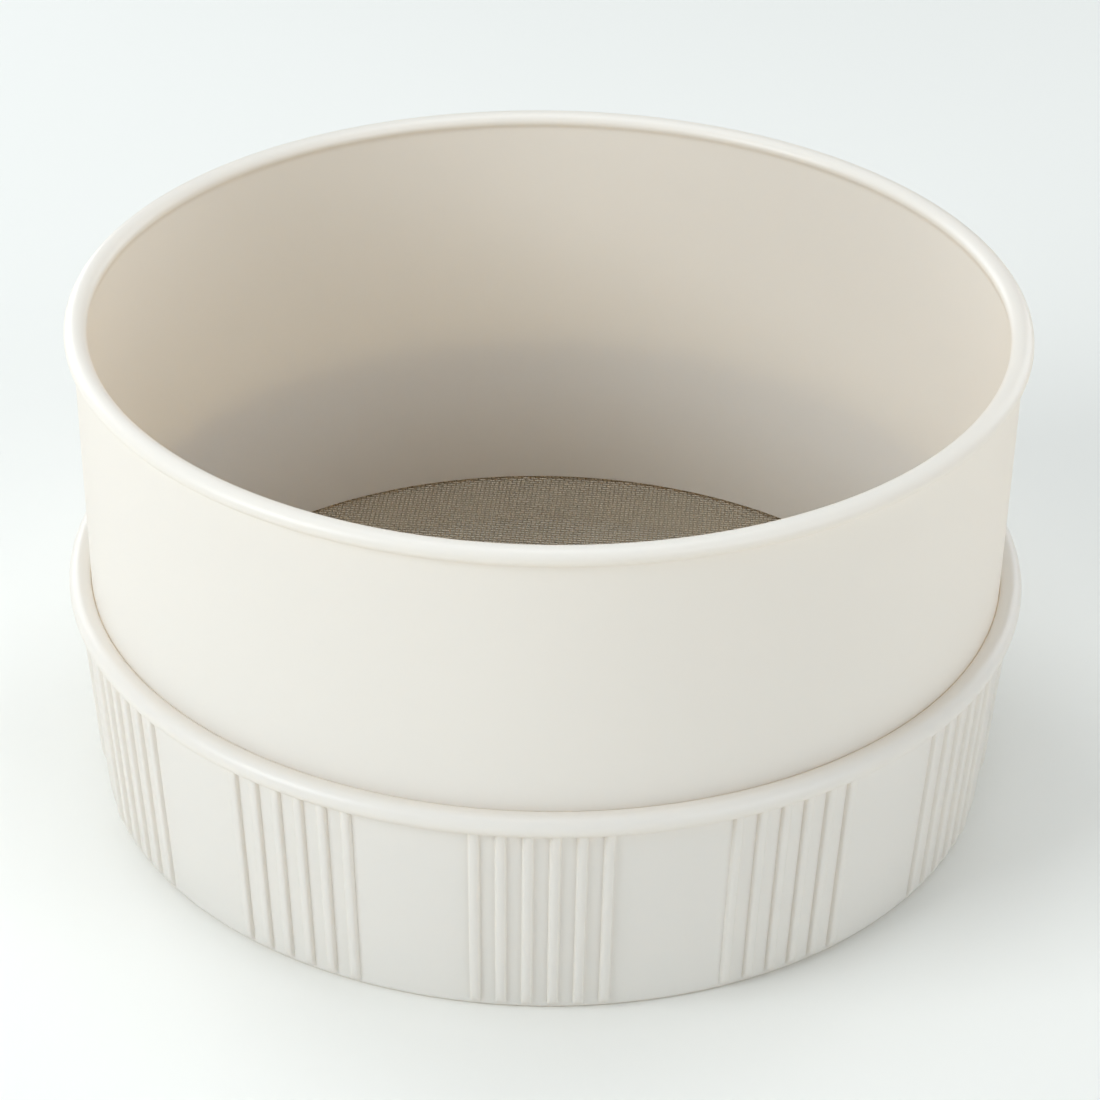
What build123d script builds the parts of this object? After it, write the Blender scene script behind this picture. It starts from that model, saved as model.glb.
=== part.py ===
"""Drum sieve of two nested plastic rings that clamp a disc of wire gauze.

The frame has its origin on the table, on the axis of the rings, with +Z up.
The upper ring stands in the lower one. Its foot presses the edge of the gauze
onto a ledge inside the lower ring, and both walls taper there like a wedge.
"""

import os
from math import cos, hypot, radians, sin, tan

from build123d import *

os.makedirs("parts", exist_ok=True)

# Whole sieve
total_height = 113.3 * MM
gauze_clear_height = 12.2 * MM  # from the table to the underside of the gauze
slip_clearance = 0.20 * MM  # between the upper wall and the lower ring's bead
seat_clearance = 0.25 * MM  # round the clamped edge of the gauze and in the wedge
bead_sides = 12  # flats that stand for the round of a bead's section

# Upper ring
rim_diameter = 210.0 * MM
rim_bead_height = 4.0 * MM
rim_overhang = 1.8 * MM  # that the bead stands outside the wall
rim_inner_lip = 0.4 * MM  # that the bead stands inside the wall
upper_wall = 2.8 * MM  # under the bead
upper_tip_wall = 1.65 * MM  # at the end that presses on the gauze
upper_tip_edge = 0.35 * MM
upper_draft = 0.7  # degrees, on the outer face

# Lower ring
lower_ring_height = 51.75 * MM
lower_bead_diameter = 4.8 * MM
lower_wall = 1.9 * MM
lower_taper = 4.1  # degrees
foot_outer_edge = 1.0 * MM
foot_inner_edge = 0.5 * MM

# Grip ribs on the lower ring
rib_groups = 12
ribs_in_group = 6
rib_spacing = 3.03  # degrees between neighbours
rib_height = 1.0 * MM  # that a rib stands out of the wall
rib_root = 0.06 * MM  # that the middle of its bar lies inside the wall
rib_fade = 0.8 * MM  # slant at its lower end
rib_sides = 6  # flats of the bar, which is about 2.4 mm wide at the wall

# Wire gauze, as a net of few gaps with the open share of the fine weave
gauze_thickness = 0.46 * MM  # one wire, so that the net weighs what the weave does
gauze_border = 1.2 * MM  # plain edge that shows inside the upper ring
net_pitch = 12.2 * MM
strand_share = 0.42  # wire to pitch, as in the weave


def bead_outline(radius, z, width, height):
    """Corners of a bead's oval section, about a point of the turned section."""
    turns = [radians(360 * side / bead_sides) for side in range(bead_sides)]
    return [(radius + width / 2 * cos(turn), z + height / 2 * sin(turn)) for turn in turns]


# Upper ring: radii of its faces at a height, from the rim downwards
rim_radius = rim_diameter / 2
rim_bead_width = rim_overhang + upper_wall + rim_inner_lip
rim_bead_radius = rim_radius - rim_bead_width / 2
rim_bead_z = total_height - rim_bead_height / 2


def upper_outer(z):
    """Radius of the upper ring's straight outer face."""
    return rim_radius - rim_overhang - (rim_bead_z - z) * tan(radians(upper_draft))


# Lower ring: its bead closes on the upper wall, and its wall leans in from there
lower_bead_inner = upper_outer(lower_ring_height) + slip_clearance
lower_bead_radius = lower_bead_inner + lower_bead_diameter / 2
lower_bead_z = lower_ring_height - lower_bead_diameter / 2


def lower_outer(z):
    """Radius of the lower ring's outer face, between the ribs."""
    return lower_bead_radius - (lower_bead_z - z) * tan(radians(lower_taper))


def lower_inner(z):
    """Radius of the lower ring's bore, above the ledge."""
    return lower_outer(z) - lower_wall


def wedge(z):
    """Radius of the upper ring's tapered end, which follows the lower bore."""
    return lower_inner(z) - seat_clearance


# Heights and radii where the gauze is clamped
ledge_z = gauze_clear_height - seat_clearance
upper_tip_z = gauze_clear_height + gauze_thickness + seat_clearance
wedge_top_z = (upper_outer(0) - wedge(0)) / (tan(radians(lower_taper)) - tan(radians(upper_draft)))
bore_radius = wedge(upper_tip_z) - upper_tip_wall
gauze_radius = lower_inner(gauze_clear_height) - seat_clearance

# Upper ring: one turned section, with an oval bead along its rim
with BuildPart() as upper_ring:
    with BuildSketch(Plane.XZ) as upper_section:
        with BuildLine():
            Polyline(
                (bore_radius, upper_tip_z),
                (wedge(upper_tip_z), upper_tip_z),
                (wedge(wedge_top_z), wedge_top_z),
                (rim_radius - rim_overhang, rim_bead_z),
                (rim_radius - rim_overhang - upper_wall, rim_bead_z),
                close=True,
            )
        make_face()
        chamfer(upper_section.vertices().group_by(Axis.Y)[0], length=upper_tip_edge)
        with BuildLine():
            Polyline(*bead_outline(rim_bead_radius, rim_bead_z, rim_bead_width, rim_bead_height), close=True)
        make_face()
    revolve(axis=Axis.Z)
upper_ring.part.label = "upper_ring"

# Lower ring without its ribs: bead, tapered wall, ledge and foot
with BuildPart() as plain_ring:
    with BuildSketch(Plane.XZ) as lower_section:
        with BuildLine():
            Polyline(
                (bore_radius, 0),
                (lower_outer(0), 0),
                (lower_outer(lower_bead_z), lower_bead_z),
                (lower_inner(lower_bead_z), lower_bead_z),
                (lower_inner(ledge_z), ledge_z),
                (bore_radius, ledge_z),
                close=True,
            )
        make_face()
        foot_corners = lower_section.vertices().group_by(Axis.Y)[0].sort_by(Axis.X)
        chamfer(foot_corners[0], length=foot_inner_edge)
        chamfer(foot_corners[-1], length=foot_outer_edge)
        with BuildLine():
            Polyline(
                *bead_outline(lower_bead_radius, lower_bead_z, lower_bead_diameter, lower_bead_diameter),
                close=True,
            )
        make_face()
    revolve(axis=Axis.Z)

# One grip rib: a bar along the taper, half sunk in the wall, whose lower end fades out
rib_sink = rib_root / cos(radians(lower_taper))
with BuildPart() as rib:
    with BuildLine() as rib_path:
        Line(
            (lower_outer(foot_outer_edge) - rib_sink, 0, foot_outer_edge),
            (lower_outer(lower_bead_z) - rib_sink, 0, lower_bead_z),
        )
    with BuildSketch(Plane(rib_path.line @ 0, x_dir=(-1, 0, 0), z_dir=rib_path.line % 0)):
        RegularPolygon(rib_root + rib_height, rib_sides, major_radius=False, rotation=180 / rib_sides)
    sweep()
    chamfer(rib.faces().sort_by(Axis.Z)[0].edges(), length=rib_fade)

# Lower ring: groups of ribs round the wall, the first of them facing -Y
group_angle = (ribs_in_group - 1) * rib_spacing
with BuildPart() as rib_group:
    with PolarLocations(0, ribs_in_group, -90 - group_angle / 2, group_angle, endpoint=True):
        add(rib.part)

with BuildPart() as lower_ring:
    add(plain_ring.part)
    with PolarLocations(0, rib_groups):
        add(rib_group.part, clean=False)
lower_ring.part.label = "lower_ring"

# Gauze: one flat face with square gaps, clipped along a plain border
net_radius = bore_radius - gauze_border
net_reach = int(net_radius / net_pitch)
net_places = [
    (column * net_pitch, row * net_pitch)
    for column in range(-net_reach, net_reach + 1)
    for row in range(-net_reach, net_reach + 1)
    if hypot(column, row) * net_pitch < net_radius
]
with BuildSketch() as gaps:
    with Locations(*net_places):
        Rectangle(net_pitch * (1 - strand_share), net_pitch * (1 - strand_share))
    Circle(net_radius, mode=Mode.INTERSECT)
with BuildPart() as gauze:
    with BuildSketch(Plane.XY.offset(gauze_clear_height)):
        Circle(gauze_radius)
        add(gaps.sketch, mode=Mode.SUBTRACT)
    extrude(amount=gauze_thickness)
gauze.part.label = "gauze"

print("gaps in the net:", len(net_places))
export_step(upper_ring.part, "parts/upper_ring.step")
export_step(lower_ring.part, "parts/lower_ring.step")
export_step(gauze.part, "parts/gauze.step")
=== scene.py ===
"""Drum sieve: two nested off-white plastic rings that clamp a disc of woven wire gauze."""

from math import cos, pi, radians, sin, tan

import bpy
import numpy as np
from mathutils import Matrix, Vector


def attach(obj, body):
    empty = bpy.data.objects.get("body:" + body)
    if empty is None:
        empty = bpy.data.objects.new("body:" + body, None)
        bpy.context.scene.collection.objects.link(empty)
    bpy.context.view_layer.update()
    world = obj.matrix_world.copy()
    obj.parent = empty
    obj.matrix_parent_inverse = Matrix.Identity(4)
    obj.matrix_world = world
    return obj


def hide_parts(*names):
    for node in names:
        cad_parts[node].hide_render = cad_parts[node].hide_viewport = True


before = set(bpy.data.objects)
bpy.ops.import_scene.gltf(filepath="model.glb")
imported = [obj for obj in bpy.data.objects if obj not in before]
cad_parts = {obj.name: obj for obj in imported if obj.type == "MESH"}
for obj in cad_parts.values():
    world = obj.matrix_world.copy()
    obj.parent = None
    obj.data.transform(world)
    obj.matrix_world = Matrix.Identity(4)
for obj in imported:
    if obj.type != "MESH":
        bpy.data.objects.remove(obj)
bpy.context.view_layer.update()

MM = 0.001

# Sizes of the upper ring's section, in mm, as in the CAD part
rim_radius = 105.0
total_height = 113.3
bead_half_width = 2.5
bead_half_height = 2.0
rim_bead_radius = rim_radius - bead_half_width
rim_bead_z = total_height - bead_half_height
rim_overhang = 1.8  # that the bead stands outside the wall
upper_wall = 2.8
upper_draft = tan(radians(0.7))
tip_z = 12.91  # the end that presses on the gauze
tip_wall = 1.65

# Sizes of the lower ring's section and the gauze, in mm, as in the CAD part
lower_bead_half = 2.4
lower_ring_height = 51.75
lower_bead_z = lower_ring_height - lower_bead_half
lower_taper = tan(radians(4.1))
lower_wall = 1.9
ledge_z = 11.95
gauze_z = 12.43  # middle of the weave
slip_clearance = 0.2  # between the upper wall and the lower ring's bead
seat_clearance = 0.25  # in the wedge


def upper_outer(z):
    """Radius of the upper ring's outer face."""
    return rim_radius - rim_overhang - (rim_bead_z - z) * upper_draft


lower_bead_radius = upper_outer(lower_ring_height) + slip_clearance + lower_bead_half


def lower_outer(z):
    """Radius of the lower ring's outer face, between the ribs."""
    return lower_bead_radius - (lower_bead_z - z) * lower_taper


def wedge(z):
    """Radius of the upper ring's tapered end."""
    return lower_outer(z) - lower_wall - seat_clearance


wedge_top_z = (upper_outer(0) - wedge(0)) / (lower_taper - upper_draft)
bore_radius = wedge(tip_z) - tip_wall


# Modelling helpers

def choose(piece):
    """Selects just one piece."""
    bpy.ops.object.select_all(action="DESELECT")
    piece.select_set(True)
    bpy.context.view_layer.objects.active = piece


def edit(piece):
    """Starts edit mode on one piece, with nothing selected in it."""
    choose(piece)
    bpy.ops.object.mode_set(mode="EDIT")
    bpy.ops.mesh.select_all(action="DESELECT")


def pick(piece, chosen):
    """Starts edit mode on one piece, with just the chosen vertices selected."""
    edit(piece)
    bpy.ops.mesh.select_mode(type="VERT")
    bpy.ops.object.mode_set(mode="OBJECT")
    piece.data.vertices.foreach_set("select", chosen)
    bpy.ops.object.mode_set(mode="EDIT")


def apply(piece, kind, **settings):
    """Adds one modifier with its settings and applies it."""
    choose(piece)
    modifier = piece.modifiers.new(kind.lower(), kind)
    for name, value in settings.items():
        setattr(modifier, name, value)
    bpy.ops.object.modifier_apply(modifier=modifier.name)


def points(piece):
    """The piece's vertex places, in mm."""
    places = np.empty(len(piece.data.vertices) * 3)
    piece.data.vertices.foreach_get("co", places)
    return places.reshape(-1, 3) / MM


def move_points(piece, places):
    """Puts the piece's vertices at new places, in mm."""
    piece.data.vertices.foreach_set("co", (places * MM).ravel())
    piece.data.update()


def turned(name, outline, steps):
    """A closed section of (radius, height) corners in mm, spun about the axis."""
    bpy.ops.object.select_all(action="DESELECT")
    bpy.ops.mesh.primitive_circle_add(vertices=len(outline), radius=MM)
    piece = bpy.context.object
    piece.name = name
    move_points(piece, np.array([(radius, 0, height) for radius, height in outline]))
    edit(piece)
    bpy.ops.mesh.select_all(action="SELECT")
    bpy.ops.mesh.spin(steps=steps, angle=2 * pi, center=(0, 0, 0), axis=(0, 0, 1))
    bpy.ops.mesh.select_all(action="SELECT")
    bpy.ops.mesh.remove_doubles(threshold=0.01 * MM)
    bpy.ops.mesh.normals_make_consistent(inside=False)
    bpy.ops.object.mode_set(mode="OBJECT")
    return piece


def arc(radius, height, half_width, half_height, start, end, count):
    """Points of an oval's edge between two angles in degrees, both ends included."""
    turns = [radians(start + (end - start) * step / (count - 1)) for step in range(count)]
    return [(radius + half_width * cos(turn), height + half_height * sin(turn)) for turn in turns]


def smooth(piece, angle):
    """Smooth shading, with edges sharper than the angle kept."""
    choose(piece)
    bpy.ops.object.shade_smooth_by_angle(angle=radians(angle))


# Materials

def colour(text):
    """A linear colour from an sRGB hex value."""
    parts = [int(text[place:place + 2], 16) / 255 for place in (0, 2, 4)]
    return [part / 12.92 if part <= 0.04045 else ((part + 0.055) / 1.055) ** 2.4 for part in parts] + [1.0]


def socket(made, key):
    """The node's input at that number, or the one of that name that is in use."""
    if isinstance(key, int):
        return made.inputs[key]
    return next(one for one in made.inputs if one.name == key and one.enabled)


def node(material, kind, settings, links):
    """Adds one node, with values for its settings and inputs, and outputs linked to its inputs."""
    made = material.node_tree.nodes.new(kind)
    for name, value in settings.items():
        if hasattr(made, name):
            setattr(made, name, value)
        else:
            socket(made, name).default_value = value
    for key, output in links.items():
        material.node_tree.links.new(output, socket(made, key))
    return made


def new_material(name):
    """An empty material with only its output."""
    material = bpy.data.materials.new(name)
    material.use_nodes = True
    material.node_tree.nodes.clear()
    return material


# Moulded polypropylene: off-white and satin.
# It lets light through, so a single wall glows and a double one is darker.
moulded_plastic = new_material("moulded_polypropylene")
at = node(moulded_plastic, "ShaderNodeTexCoord", {}, {}).outputs["Object"]

# Flow marks of the moulding, about 70 mm long and very faint, in the colour and the gloss
flow_marks = node(moulded_plastic, "ShaderNodeTexNoise", {"Scale": 14, "Detail": 3}, {"Vector": at})
cloudy = node(
    moulded_plastic,
    "ShaderNodeMix",
    {"data_type": "RGBA", "A": colour("FDFDF9"), "B": colour("FAFAF6")},
    {"Factor": flow_marks.outputs["Fac"]},
)
satin = node(
    moulded_plastic,
    "ShaderNodeMapRange",
    {"To Min": 0.28, "To Max": 0.34},
    {"Value": flow_marks.outputs["Fac"]},
)

# Slight waviness of the walls, about 15 mm long
waves = node(moulded_plastic, "ShaderNodeTexNoise", {"Scale": 65, "Detail": 1}, {"Vector": at})
wave_bump = node(
    moulded_plastic,
    "ShaderNodeBump",
    {"Strength": 0.15, "Distance": 0.3 * MM},
    {"Height": waves.outputs["Fac"]},
)
skin = node(
    moulded_plastic,
    "ShaderNodeBsdfPrincipled",
    {"IOR": 1.49},
    {
        "Base Color": cloudy.outputs[2],
        "Roughness": satin.outputs["Result"],
        "Normal": wave_bump.outputs["Normal"],
    },
)
glow = node(moulded_plastic, "ShaderNodeBsdfTranslucent", {"Color": colour("FFE6C0")}, {})
wall = node(
    moulded_plastic,
    "ShaderNodeMixShader",
    {"Fac": 0.28},
    {1: skin.outputs["BSDF"], 2: glow.outputs["BSDF"]},
)
node(moulded_plastic, "ShaderNodeOutputMaterial", {}, {"Surface": wall.outputs["Shader"]})

# Drawn stainless steel wire, woven: dull grey, made warm by a painted reflection of the warm plastic walls
# round it, with tarnish in patches of about 25 mm
steel_wire = new_material("woven_steel_wire")
wire_at = node(steel_wire, "ShaderNodeTexCoord", {}, {}).outputs["Object"]
tarnish = node(steel_wire, "ShaderNodeTexNoise", {"Scale": 40, "Detail": 4}, {"Vector": wire_at})
# Both tones are warm grey, which is a painted warm reflection of the plastic walls; the mix between them
# is the tarnish
wire_tone_and_warm_reflection = node(
    steel_wire,
    "ShaderNodeMix",
    {"data_type": "RGBA", "A": colour("C6B8A4"), "B": colour("D4C8B5")},
    {"Factor": tarnish.outputs["Fac"]},
)
wire_gloss = node(
    steel_wire,
    "ShaderNodeMapRange",
    {"To Min": 0.38, "To Max": 0.46},
    {"Value": tarnish.outputs["Fac"]},
)
wire_skin = node(
    steel_wire,
    "ShaderNodeBsdfPrincipled",
    {"Metallic": 1.0},
    {"Base Color": wire_tone_and_warm_reflection.outputs[2], "Roughness": wire_gloss.outputs["Result"]},
)
node(steel_wire, "ShaderNodeOutputMaterial", {}, {"Surface": wire_skin.outputs["BSDF"]})

# Upper ring: where the wall's two faces meet the rim's bead, then the section from its foot up
bead_foot_out = upper_outer(109.4) - rim_bead_radius
bead_foot_in = upper_outer(110.2) - upper_wall - rim_bead_radius
bead_start = -np.degrees(np.arccos(bead_foot_out / bead_half_width))
bead_end = 360 - np.degrees(np.arccos(bead_foot_in / bead_half_width))
upper_outline = [
    (bore_radius, tip_z + 0.35),
    (bore_radius + 0.1, tip_z + 0.1),
    (bore_radius + 0.35, tip_z),
    (wedge(tip_z) - 0.35, tip_z),
    (wedge(tip_z) - 0.1, tip_z + 0.1),
    (wedge(tip_z + 0.35), tip_z + 0.35),
    (wedge(wedge_top_z - 1), wedge_top_z - 1),
    (upper_outer(wedge_top_z + 1), wedge_top_z + 1),
    (upper_outer(80), 80),
    (upper_outer(108.8), 108.8),
]
upper_outline += arc(
    rim_bead_radius, rim_bead_z, bead_half_width, bead_half_height, bead_start, bead_end, 32
)

# Its inner face, which lies up to 0.5 mm outside the CAD part's
upper_outline += [
    (upper_outer(109.4) - upper_wall, 109.4),
    (upper_outer(80) - upper_wall * 0.9, 80),
    (upper_outer(40) - upper_wall * 0.95, 40),
]
upper_ring = turned("upper_ring_wall", upper_outline, 360)
smooth(upper_ring, 40)
upper_ring.data.materials.append(moulded_plastic)

# Lower ring: spun with a column for each step across its ribs, then the ribs are raised
rib_groups = 12
group_turn = 360 / rib_groups
ribs_in_group = 6
rib_spacing = 3.03  # degrees between neighbours
rib_half_width = 1.2
rib_height = 1.0
rib_fade = 3.2  # length over which a rib rises out of the foot
rib_columns = [-1.0, -0.82, -0.62, -0.4, -0.15, 0.15, 0.4, 0.62, 0.82, 1.0, 1.55]
rib_circle = 104  # radius at which a rib's width is turned into degrees
degrees_per_mm = 180 / pi / rib_circle

# Each column is its turn from the group's middle, and its share of a rib's half width
columns = []
for rib in range(ribs_in_group):
    centre = (rib - (ribs_in_group - 1) / 2) * rib_spacing
    columns += [(centre + share * rib_half_width * degrees_per_mm, share) for share in rib_columns]
last = columns[-1][0]
columns += [(last + (group_turn + columns[0][0] - last) * step / 6, 2.0) for step in range(1, 6)]
spin_steps = rib_groups * len(columns)

# The section runs from the foot's inner edge, up the outer face, over the bead and down the bore.
# Its low rows are close together, where the ribs rise, and the bead's top is squarer on the inside.
foot_edge = 1.2
lower_outline = [
    (bore_radius, 0.5),
    (bore_radius + 0.15, 0.15),
    (bore_radius + 0.5, 0),
]
lower_outline += arc(lower_outer(foot_edge) - foot_edge, foot_edge, foot_edge, foot_edge, -90, 0, 6)
lower_outline += [(lower_outer(z), z) for z in (1.5, 2.0, 2.6, 3.4, 4.4, 12, 24, 36, 44)]
lower_outline += [(lower_bead_radius - 0.17, lower_bead_z - lower_bead_half)]
lower_outline += arc(lower_bead_radius, lower_bead_z, lower_bead_half, lower_bead_half, -60, 100, 18)
lower_outline += [
    (lower_bead_radius - 1.0, lower_ring_height - 0.1),
    (lower_bead_radius - 1.7, lower_ring_height - 0.22),
    (lower_bead_radius - 2.2, lower_ring_height - 0.38),
    (lower_bead_radius - 2.43, lower_ring_height - 0.55),
    (lower_bead_radius - 2.53, lower_ring_height - 0.8),
    (lower_bead_radius - 2.5, lower_ring_height - 1.6),
    (lower_bead_radius - 2.3, 48),
    (lower_outer(46) - lower_wall, 46),
    (lower_outer(30) - lower_wall, 30),
]
lower_outline += [(lower_outer(ledge_z) - lower_wall, ledge_z), (bore_radius, ledge_z)]
lower_ring = turned("lower_ring_wall", lower_outline, spin_steps)

spots = points(lower_ring)
turn = np.degrees(np.arctan2(spots[:, 1], spots[:, 0])) % 360
radius = np.hypot(spots[:, 0], spots[:, 1])
height = spots[:, 2]
column = np.rint(turn * len(columns) / group_turn).astype(int) % spin_steps
angles = np.array([angle for angle, share in columns])
shares = np.array([share for angle, share in columns])
new_turn = np.radians(angles[column % len(columns)] + group_turn * (column // len(columns)))
across = np.clip(np.abs(shares[column % len(columns)]), 0, 1)
raised = rib_height * np.sqrt(1 - across ** 2.6)
outside = radius > lower_outer(0) - 0.6 + height * lower_taper
on_face = outside & (height >= foot_edge - 0.01) & (height < 47)
fade = np.clip((height - foot_edge) / rib_fade, 0, 1)
rise = np.where(on_face, raised * np.sqrt(1 - (1 - fade) ** 2), 0)
under_bead = on_face & (height > 46)
new_height = np.where(under_bead, lower_bead_z - np.sqrt(lower_bead_half ** 2 - rise ** 2), height)
new_radius = radius + rise
raised_spots = [new_radius * np.cos(new_turn), new_radius * np.sin(new_turn), new_height]
move_points(lower_ring, np.stack(raised_spots, 1))
smooth(lower_ring, 50)
lower_ring.data.materials.append(moulded_plastic)

# Gauze: one pair of crimps, repeated into a weave and trimmed to a disc.
# The wires have three sides, and each set stands off the middle by less than a wire, so they press
# into each other where they cross.
wire = 0.46
side_share = 1.73  # of a triangle's side to the radius round it
crimp = 0.14
pitch = 1.1
gauze_radius = 100.2
weave_turn = radians(-4.5)
set_lift = 0.08
slack_radius = 92  # the gauze lies flat from here to its clamped edge
rows = int(gauze_radius / pitch / 2) + 2


def wires(name):
    """Crimped wires along X, at the weave's pitch, trimmed to the disc."""
    bpy.ops.object.select_all(action="DESELECT")
    bpy.ops.mesh.primitive_cylinder_add(
        vertices=3,
        radius=wire / side_share * MM,
        depth=2 * pitch * MM,
        end_fill_type="NOTHING",
        rotation=(0, pi / 2, 0),
    )
    piece = bpy.context.object
    piece.name = name
    bpy.ops.object.transform_apply(location=True, rotation=True, scale=True)
    edit(piece)
    bpy.ops.mesh.select_all(action="SELECT")
    bpy.ops.mesh.bisect(plane_co=(0, 0, 0), plane_no=(1, 0, 0))
    bpy.ops.object.mode_set(mode="OBJECT")
    spots = points(piece)
    spots[:, 2] += np.where(np.abs(spots[:, 0]) < 0.01, -crimp, crimp)
    move_points(piece, spots)
    apply(
        piece,
        "ARRAY",
        count=2 * rows,
        use_relative_offset=False,
        use_constant_offset=True,
        constant_offset_displace=(2 * pitch * MM, 0, 0),
        use_merge_vertices=True,
        merge_threshold=0.02 * MM,
    )
    apply(
        piece,
        "ARRAY",
        count=4 * rows,
        use_relative_offset=False,
        use_constant_offset=True,
        constant_offset_displace=(0, pitch * MM, 0),
    )
    spots = points(piece)
    spots[:, 0] += np.rint(spots[:, 1] / pitch) % 2 * pitch
    spots[:, :2] -= 2 * rows * pitch
    move_points(piece, spots)
    pick(piece, np.hypot(spots[:, 0], spots[:, 1]) > gauze_radius)
    bpy.ops.mesh.delete(type="VERT")
    bpy.ops.mesh.select_all(action="SELECT")
    bpy.ops.mesh.fill_holes(sides=3)
    bpy.ops.object.mode_set(mode="OBJECT")
    return piece


def lay(piece, crossed, lift):
    """Puts the wires in the gauze's plane. Crossed ones run along Y, under where the others pass over."""
    spots = points(piece)
    if crossed:
        spots = np.stack([spots[:, 1], spots[:, 0], -spots[:, 2]], 1)
    x, y = spots[:, 0].copy(), spots[:, 1].copy()
    spots[:, 0] = x * cos(weave_turn) - y * sin(weave_turn)
    spots[:, 1] = x * sin(weave_turn) + y * cos(weave_turn)
    x, y = spots[:, 0], spots[:, 1]

    # Long swells of 0.2 mm, with oblique ones of 0.12 mm about 21 mm apart
    slack = np.clip(1 - (np.hypot(x, y) / slack_radius) ** 2, 0, 1)
    waviness = 0.2 * np.sin(x / 11 + 0.4) * np.sin(y / 8 + 1.3) + 0.12 * np.sin((x + 1.3 * y) / 5.5)
    spots[:, 2] += gauze_z + lift + slack * waviness
    move_points(piece, spots)
    piece.data.materials.append(steel_wire)
    smooth(piece, 150)


warp = wires("gauze_warp_wires")
lay(warp, False, -set_lift)
weft = wires("gauze_weft_wires")
lay(weft, True, set_lift)

# Frame
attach(upper_ring, "upper_ring")
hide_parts("upper_ring")
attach(lower_ring, "lower_ring")
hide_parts("lower_ring")
for piece in (warp, weft):
    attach(piece, "gauze")
    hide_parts("gauze")

# Floor: one plain, pale and matt plane
bpy.ops.object.select_all(action="DESELECT")
bpy.ops.mesh.primitive_plane_add(size=6)
floor = bpy.context.object
floor.name = "floor"
floor_paint = new_material("pale_floor")
floor_skin = node(
    floor_paint,
    "ShaderNodeBsdfPrincipled",
    {"Base Color": colour("F2EFE8"), "Roughness": 0.8},
    {},
)
node(floor_paint, "ShaderNodeOutputMaterial", {}, {"Surface": floor_skin.outputs["BSDF"]})
floor.data.materials.append(floor_paint)

# Camera at the photo's place: its height, distance, lens and small roll come from fitting the outlines
elevation = radians(31.21)
distance = 766.5 * MM
axis_point = Vector((0, 0, 50.56 * MM))
side_step = 0.92 * MM
roll = 0.01456
around = Vector((1, 0, 0))
viewpoint = axis_point + distance * Vector((0, -cos(elevation), sin(elevation)))
back = (viewpoint - axis_point - around * side_step).normalized()
right = (around - around.dot(back) * back).normalized()
up = back.cross(right)
turned_right = right * cos(roll) + up * sin(roll)
camera_data = bpy.data.cameras.new("camera")
camera_data.sensor_width = 36
camera_data.lens = 110.42
camera_data.clip_start = 0.01
camera = bpy.data.objects.new("camera", camera_data)
bpy.context.scene.collection.objects.link(camera)
axes = Matrix((turned_right, back.cross(turned_right), back)).transposed().to_4x4()
camera.matrix_world = Matrix.Translation(viewpoint) @ axes
bpy.context.scene.camera = camera


lamp_tint = colour("F1F9FF")
lamp_target = Vector((0, 0, 0.05))


def lamp(name, place, size, power):
    """A square soft lamp that faces the sieve."""
    data = bpy.data.lights.new(name, "AREA")
    data.shape = "SQUARE"
    data.size = size
    data.energy = power
    data.color = lamp_tint[:3]
    made = bpy.data.objects.new(name, data)
    bpy.context.scene.collection.objects.link(made)
    made.location = place
    made.rotation_mode = "QUATERNION"
    made.rotation_quaternion = (Vector(place) - lamp_target).to_track_quat("Z", "Y")


lamp("key", (-0.9, -0.5, 0.67), 0.7, 9.4)
lamp("fill", (1.0, -0.8, 0.55), 1.0, 7)
lamp("back_left", (-0.75, 0.9, 0.45), 0.7, 5)
lamp("back_right", (0.85, 0.85, 0.5), 0.7, 3.5)
lamp("top", (0.0, 0.1, 1.3), 0.8, 5.8)

world = bpy.data.worlds.new("world")
bpy.context.scene.world = world
world.use_nodes = True
world.node_tree.nodes["Background"].inputs["Color"].default_value = lamp_tint
world.node_tree.nodes["Background"].inputs["Strength"].default_value = 0.24
bpy.context.scene.view_settings.view_transform = "Standard"
